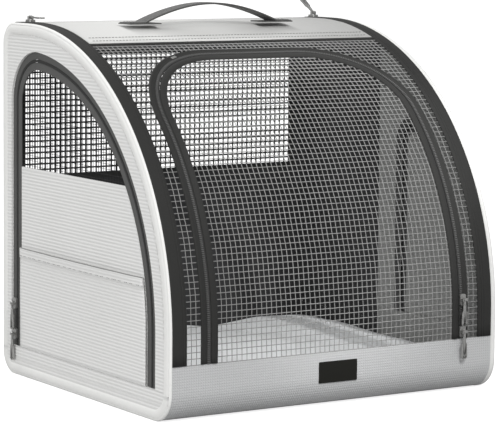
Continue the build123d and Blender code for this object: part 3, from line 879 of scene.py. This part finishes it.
# flat webbing handle sewn down at both ends
def addHandle():
    h = {"left": -0.1375, "right": 0.119, "line": 0.086, "wide": 0.030, "thick": 0.0024,
         "tab": 0.048, "tabOver": 0.002, "tabThick": 0.0014, "tabCorner": 0.003, "rise": 0.0248,
         "sewn": 0.024, "flat": 0.012, "under": 0.4802, "foot": 0.4806, "steps": 40,
         "box": (0.004, 0.022), "boxHalf": 0.011, "stitch": (0.0026, 0.0012, 0.0004)}
    low, high = h["left"] + h["sewn"], h["right"] - h["sewn"]
    path = [(h["left"], h["under"]), (h["left"] + h["flat"], h["under"]), (low, h["foot"])]
    for k in range(1, h["steps"]):
        t = k / h["steps"]
        path.append((low + (high - low) * t, h["foot"] + h["rise"] * math.sin(math.pi * t) ** 0.9))
    path += [(high, h["foot"]), (h["right"] - h["flat"], h["under"]), (h["right"], h["under"])]
    w, t = h["wide"] / 2, h["thick"]
    section = [
        (-w, 0.0003), (-w, t - 0.0004), (-w + 0.0012, t), (-w + 0.003, t - 0.0003), (-w + 0.0045, t),
        (w - 0.0045, t), (w - 0.003, t - 0.0003), (w - 0.0012, t), (w, t - 0.0004), (w, 0.0003),
        (w - 0.001, 0.0), (-w + 0.001, 0.0),
    ]
    rings = []
    for k, (x, z) in enumerate(path):
        a = path[max(k - 1, 0)]
        b = path[min(k + 1, len(path) - 1)]
        tangent = Vector((b[0] - a[0], 0, b[1] - a[1])).normalized()
        up = Vector((-tangent.z, 0, tangent.x))
        rings.append([Vector((x, h["line"] + across, z)) + up * lift for across, lift in section])
    bm = bmesh.new()
    joinRings(bm, rings, caps=True)
    o = finishMesh(bm, "handleStrap", webbing, "crate_cover")
    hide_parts("handle_strap")
    tabs = {"left": (h["left"] - h["tabOver"], h["left"] + h["tab"]),
            "right": (h["right"] - h["tab"], h["right"] + h["tabOver"])}
    for name, (x0, x1) in tabs.items():
        bm = bmesh.new()
        size = (x1 - x0, h["wide"] + 2 * h["tabOver"], h["tabThick"])
        addBox(bm, ((x0 + x1) / 2, h["line"], h["foot"]), size)
        upright = [e for e in bm.edges if abs(e.verts[0].co.z - e.verts[1].co.z) > 0.001]
        bevelEdges(bm, upright, h["tabCorner"], 3)
        o = finishMesh(bm, name + "HandleTab", webbing, "crate_cover", False)
        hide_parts(name + "_handle_tab")
        near, far = h["box"]
        a, b = (x0 + near, x0 + far) if name == "left" else (x1 - far, x1 - near)
        y0, y1, z = h["line"] - h["boxHalf"], h["line"] + h["boxHalf"], h["under"] + t + 0.0002
        box = [(a, y0, z), (b, y0, z), (b, y1, z), (a, y1, z), (a, y0, z)]
        o = addStitches(name + "TabStitch", box, *h["stitch"], threadGrey, "crate_cover")


addHandle()


# pocket: a bowed sheet with a folded hem, open along its top, and a thin dark strip along that top edge as a
# painted shadow of its mouth
def addPocket():
    p = {"foot": 0.0403, "top": 0.175, "hem": 0.012, "bow": 0.0036, "ripple": 0.0003, "thick": 0.0008,
         "flatAt": 0.08, "hemEnd": 1.005, "hemLift": 0.0008, "hemFlare": 0.0004, "hemThick": 0.0005,
         "shadowAt": 1.004, "shadowHigh": 0.0085, "shadowLift": 0.0013, "shadowLean": 0.0008, "shadowThick": 0.0004,
         "seamOver": 0.02, "seamLift": 0.0012, "stitch": (0.0024, 0.0016, 0.00032)}
    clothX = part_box("left_pocket")[0].x
    radius = archRadius - leftDoor["inset"] - leftDoor["pocket"]
    back = leftDoor["rear"] - leftDoor["pocket"]
    tall = p["top"] - p["foot"]
    hemAt = 1 - p["hem"] / tall

    def front(z):
        return arcY - (math.sqrt(radius ** 2 - (z - arcZ) ** 2) if z > arcZ else radius)

    def place(u, v, lift=0.0):
        z = p["foot"] + tall * v
        bow = p["bow"] * v ** 2 * math.sin(math.pi * u) ** 0.7
        ripple = p["ripple"] * math.sin(u * 31 + v * 5) * v
        return (clothX - bow - ripple - lift, front(z) + (back - front(z)) * u, z)

    def hemPoint(u, v):
        return place(u, hemAt + (p["hemEnd"] - hemAt) * v, p["hemLift"] + p["hemFlare"] * v)

    def mouthShadowPoint(u, v):
        return place(u, p["shadowAt"] + p["shadowHigh"] * v, p["shadowLift"] - p["shadowLean"] * v)

    o = addGrid("pocketSheet", place, 60, 34, whiteRib, "left_door", p["thick"])
    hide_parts("left_pocket", "left_pocket_hem")
    o = addGrid("pocketHem", hemPoint, 60, 6, whiteRib, "left_door", p["hemThick"])
    # painted shadow: a dark grey strip just above the hem stands for the shade in the pocket's mouth
    o = addGrid("pocketMouthShadow", mouthShadowPoint, 60, 2, darkThreadAndShadow, "left_door", p["shadowThick"])
    line = [place(k / 60, hemAt + p["seamOver"], p["seamLift"]) for k in range(61)]
    o = addStitches("pocketStitch", line, *p["stitch"], darkThreadAndShadow, "left_door")


addPocket()


# outline of the right door as (y, z), drawn in by the step
def rightDoorLine(step, fine=16):
    radius = archRadius - rightDoor["inset"] - step
    cy, cz, small = doorCorner(rightDoor, step)
    end = math.atan2(cz - arcZ, cy - arcY)
    line = [(cy + small, rightDoor["foot"])]
    for k in range(fine + 1):
        a = end * k / fine
        line.append((cy + small * math.cos(a), cz + small * math.sin(a)))
    for k in range(1, fine * 2 + 1):
        a = end + (math.pi - end) * k / (fine * 2)
        line.append((arcY + radius * math.cos(a), arcZ + radius * math.sin(a)))
    return line + [(arcY - radius, rightDoor["foot"])]


# inside of the right door: grey cloth, lit grey from the painted light and shade of the right lining, and a
# dark band on each side of its zip that is a painted shadow of the front door's zip band
def rightDoorInside():
    inside = {"cloth": 0.0146, "doorShadow": (0.0148, 0.0215), "wallShadow": (-0.002, 0.0100),
              "clothLift": 0.0006, "doorLift": 0.0010, "wallLift": 0.0003}
    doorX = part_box("right_door_fabric")[0].x
    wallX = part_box("right_side_lining")[0].x

    def flatShadowBand(name, x, steps, body):
        bm = bmesh.new()
        joinRings(bm, [[(x, y, z) for y, z in rightDoorLine(step)] for step in steps], openRing=True)
        o = finishMesh(bm, name, zipBandShadow, body, False)

    bm = bmesh.new()
    x = doorX - inside["clothLift"]
    bm.faces.new([bm.verts.new((x, y, z)) for y, z in rightDoorLine(inside["cloth"])])
    o = finishMesh(bm, "rightDoorInside", rightLining, "right_door", False)
    flatShadowBand("rightDoorInsideBand", doorX - inside["doorLift"], inside["doorShadow"], "right_door")
    flatShadowBand("rightWallInsideBand", wallX - inside["wallLift"], inside["wallShadow"], "right_side")


rightDoorInside()
print("shell done")


# cushion: a crowned pad with drawn-in sides and soft folds
def addCushion():
    pad = {
        "halfX": 0.2412, "halfY": 0.2105, "middleY": 0.0042, "foot": 0.0062, "top": 0.0558,
        "drop": 0.004, "frontDrop": 0.006, "columns": 110, "rows": 96,
        "folds": 7, "foldX": -0.18, "foldStep": 0.06, "foldSway": 0.05, "foldDeep": 0.0035, "foldWide": 0.006,
    }
    # hollows across the pad: depth, x at y 0, slope, width
    troughs = ((0.012, -0.06, 0.5, 0.035), (0.009, 0.12, 0.3, 0.045))
    columns, rows = pad["columns"], pad["rows"]
    middle = (pad["foot"] + pad["top"]) / 2 - pad["drop"]

    def edgeFall(u, v):
        a = 1 - abs(2 * u - 1) ** 14
        b = 1 - abs(2 * v - 1) ** 12
        return max(a, 0) ** 0.5 * max(b, 0) ** 0.5

    def relief(x, y):
        first = noise.noise(Vector((x * 9, y * 7, 3.1))) * 0.0045
        second = noise.noise(Vector((x * 24, y * 16, 7.7))) * 0.0016
        fold = 0.0
        for k in range(pad["folds"]):
            line = x - (pad["foldX"] + pad["foldStep"] * k) - pad["foldSway"] * math.sin(y * 13 + k * 1.7)
            along = 0.5 + 0.5 * math.sin(y * 21 + k * 2.3)
            fold -= pad["foldDeep"] * math.exp(-(line / pad["foldWide"]) ** 2) * along
        return first + second + fold

    def crown(x, y, v):
        z = pad["top"] - pad["drop"] - pad["frontDrop"] * (1 - v) ** 2
        for deep, start, slope, wide in troughs:
            z -= deep * math.exp(-((x - start + slope * y) / wide) ** 2)
        return z

    def shape(u, v, upper):
        x = (2 * u - 1) * pad["halfX"]
        y = (2 * v - 1) * pad["halfY"]
        rise = crown(x, y, v) - middle + relief(x, y) if upper else pad["foot"] - middle
        return (x, y + pad["middleY"], min(middle + rise * edgeFall(u, v), pad["top"]))

    bm = bmesh.new()
    for upper in (True, False):
        grid = [[bm.verts.new(shape(i / columns, j / rows, upper)) for j in range(rows + 1)]
                for i in range(columns + 1)]
        for i in range(columns):
            for j in range(rows):
                cell = (grid[i][j], grid[i + 1][j], grid[i + 1][j + 1], grid[i][j + 1])
                bm.faces.new(cell if upper else cell[::-1])
    bmesh.ops.remove_doubles(bm, verts=bm.verts, dist=0.00005)
    o = finishMesh(bm, "softCushion", plush, "crate_cover")
    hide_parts("cushion")
    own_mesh(o)


addCushion()
print("soft pieces done")


# broad tapered plate over each pull's blade, with a hole near its end
def addPulls():
    plate = {"from": 0.0078, "to": 0.0362, "neck": 0.0021, "broad": 0.0045, "thick": 0.00215, "hole": 0.0015,
             "roundSteps": 23, "taperSteps": 12, "bevel": 0.0003}
    tilt = math.radians(32)
    # each pull: its body, the point it turns about, the way down its length and the way out of its face
    pulls = {
        "front_door_pull": ("front_lower_pull", (0.1959, -0.2321, 0.0830), (0, 0, -1), (0, -1, 0)),
        "front_door_pull_upper": ("front_upper_pull", (0.1959, -0.2316, 0.1254), (0, 0, -1), (0, -1, 0)),
        "left_door_pull": ("left_door_lower_pull", (-0.2539, 0.1891, 0.0560), (0, 0, -1), (-1, 0, 0)),
        "left_door_pull_upper": ("left_door_upper_pull", (-0.2539, 0.1891, 0.0980), (0, 0, -1), (-1, 0, 0)),
        "right_door_pull": ("right_door_pull_body", (0.2539, -0.0224, 0.0940), (0, 0, -1), (1, 0, 0)),
        "left_arch_pull": ("left_arch_pull_body", (-0.2299, 0.1815, 0.4871), (0, -1, 0), (0, 0, 1)),
        "right_arch_pull": ("right_arch_pull_body", (0.2299, 0.1815, 0.4871),
                            (0, math.cos(tilt), math.sin(tilt)), (0, -math.sin(tilt), math.cos(tilt))),
    }
    center = plate["to"] - plate["broad"]
    outline = []
    for k in range(plate["roundSteps"] + 1):
        a = -math.pi / 2 + math.pi * k / plate["roundSteps"]
        outline.append((center + plate["broad"] * math.cos(a), plate["broad"] * math.sin(a)))
    taper = []
    for k in range(1, plate["taperSteps"]):
        t = k / plate["taperSteps"]
        half = plate["neck"] + (plate["broad"] - plate["neck"]) * (1 + math.cos(math.pi * t)) / 2
        taper.append((center + (plate["from"] - center) * t, half))
    taper.append((plate["from"], plate["neck"]))
    outline += taper + [(s, -w) for s, w in reversed(taper)]
    hole = []
    for s, w in outline:
        turn = math.atan2(w, s - center)
        hole.append((center + plate["hole"] * math.cos(turn), plate["hole"] * math.sin(turn)))
    for name, (body, eye, down, flat) in pulls.items():
        eye, down, flat = Vector(eye), Vector(down), Vector(flat)
        across = down.cross(flat)
        rings = []
        for line, half in ((outline, -0.5), (hole, -0.5), (hole, 0.5), (outline, 0.5)):
            rings.append([eye + down * s + across * w + flat * half * plate["thick"] for s, w in line])
        bm = bmesh.new()
        joinRings(bm, rings, looped=True)
        edges = [e for e in bm.edges if abs((e.verts[0].co - e.verts[1].co).dot(flat)) < 1e-6
                 and len(e.link_faces) == 2 and abs(e.link_faces[0].normal.dot(e.link_faces[1].normal)) < 0.5]
        bmesh.ops.recalc_face_normals(bm, faces=bm.faces)
        bevelEdges(bm, edges, plate["bevel"], 2)
        o = finishMesh(bm, name + "Plate", zipMetal, body)


addPulls()
print("pulls done")


# camera from the fitted view of the photograph
def addCamera():
    view = {"place": (-1.8219, -2.8605, 0.6248), "yaw": 0.5514, "pitch": -0.0931, "roll": 0.0067,
            "lens": 182.57, "shiftX": 0.0888, "shiftY": -0.1316}
    data = bpy.data.cameras.new("camera")
    cam = bpy.data.objects.new("camera", data)
    scene.collection.objects.link(cam)
    cam.location = view["place"]
    cam.rotation_mode = "XYZ"
    yaw = Matrix.Rotation(-view["yaw"], 4, "Z")
    pitch = Matrix.Rotation(math.pi / 2 + view["pitch"], 4, "X")
    roll = Matrix.Rotation(view["roll"], 4, "Z")
    cam.rotation_euler = (yaw @ pitch @ roll).to_euler("XYZ")
    data.sensor_width = 36
    data.lens = view["lens"]
    data.shift_x = view["shiftX"]
    data.shift_y = view["shiftY"]
    data.clip_start = 0.1
    data.clip_end = 40
    scene.camera = cam


addCamera()


# white floor, white room and four lamps
def addStage():
    stage = {"size": 12, "floor": 0.5, "glow": 0.86, "light": 0.5, "backdrop": 1.2}
    lamps = {
        "keyLeft": {"place": (-3.4, -0.4, 1.2), "target": (0, 0, 0.25), "size": 1.8, "power": 38},
        "cabinFront": {"place": (-0.4, -2.4, 2.1), "target": (0, 0.05, 0.05), "size": 0.9, "power": 50},
        "backTop": {"place": (-0.5, 2.2, 2.4), "target": (0, -0.06, 0.05), "size": 0.9, "power": 34},
        "cabinBeam": {"place": (0.35, -1.5, 1.95), "target": (-0.01, 0.07, 0.05), "wide": 0.23, "power": 115},
    }
    bm = bmesh.new()
    bmesh.ops.create_grid(bm, x_segments=2, y_segments=2, size=stage["size"])
    mesh = bpy.data.meshes.new("floor")
    bm.to_mesh(mesh)
    bm.free()
    floor = bpy.data.objects.new("floor", mesh)
    scene.collection.objects.link(floor)
    m = newMaterial("floorWhite", (stage["floor"],) * 3, 1.0, specular=0.0)
    shader(m).inputs["Emission Color"].default_value = (1, 1, 1, 1)
    seen = node(m.node_tree, "ShaderNodeLightPath")
    glow = calc(m.node_tree, "MULTIPLY", (seen, "Is Camera Ray"), stage["glow"])
    link(m.node_tree, *glow, shader(m), "Emission Strength")
    mesh.materials.append(m)
    world = bpy.data.worlds.new("room")
    scene.world = world
    world.use_nodes = True
    tree = world.node_tree
    tree.nodes["Background"].inputs["Color"].default_value = (1, 1, 1, 1)
    strength = node(tree, "ShaderNodeMix", {"A": stage["light"], "B": stage["backdrop"]}, data_type="FLOAT")
    link(tree, node(tree, "ShaderNodeLightPath"), "Is Camera Ray", strength, "Factor")
    link(tree, strength, "Result", tree.nodes["Background"], "Strength")
    for name, lamp in lamps.items():
        data = bpy.data.lights.new(name, "SPOT" if "wide" in lamp else "AREA")
        if "wide" in lamp:
            data.spot_size = lamp["wide"]
            data.spot_blend = 0.5
            data.shadow_soft_size = 0.03
        else:
            data.size = lamp["size"]
        data.energy = lamp["power"]
        o = bpy.data.objects.new(name, data)
        scene.collection.objects.link(o)
        place = Vector(lamp["place"])
        o.location = place
        o.rotation_euler = (Vector(lamp["target"]) - place).to_track_quat("-Z", "Y").to_euler()


addStage()
scene.view_settings.view_transform = "Standard"
print("scene done")
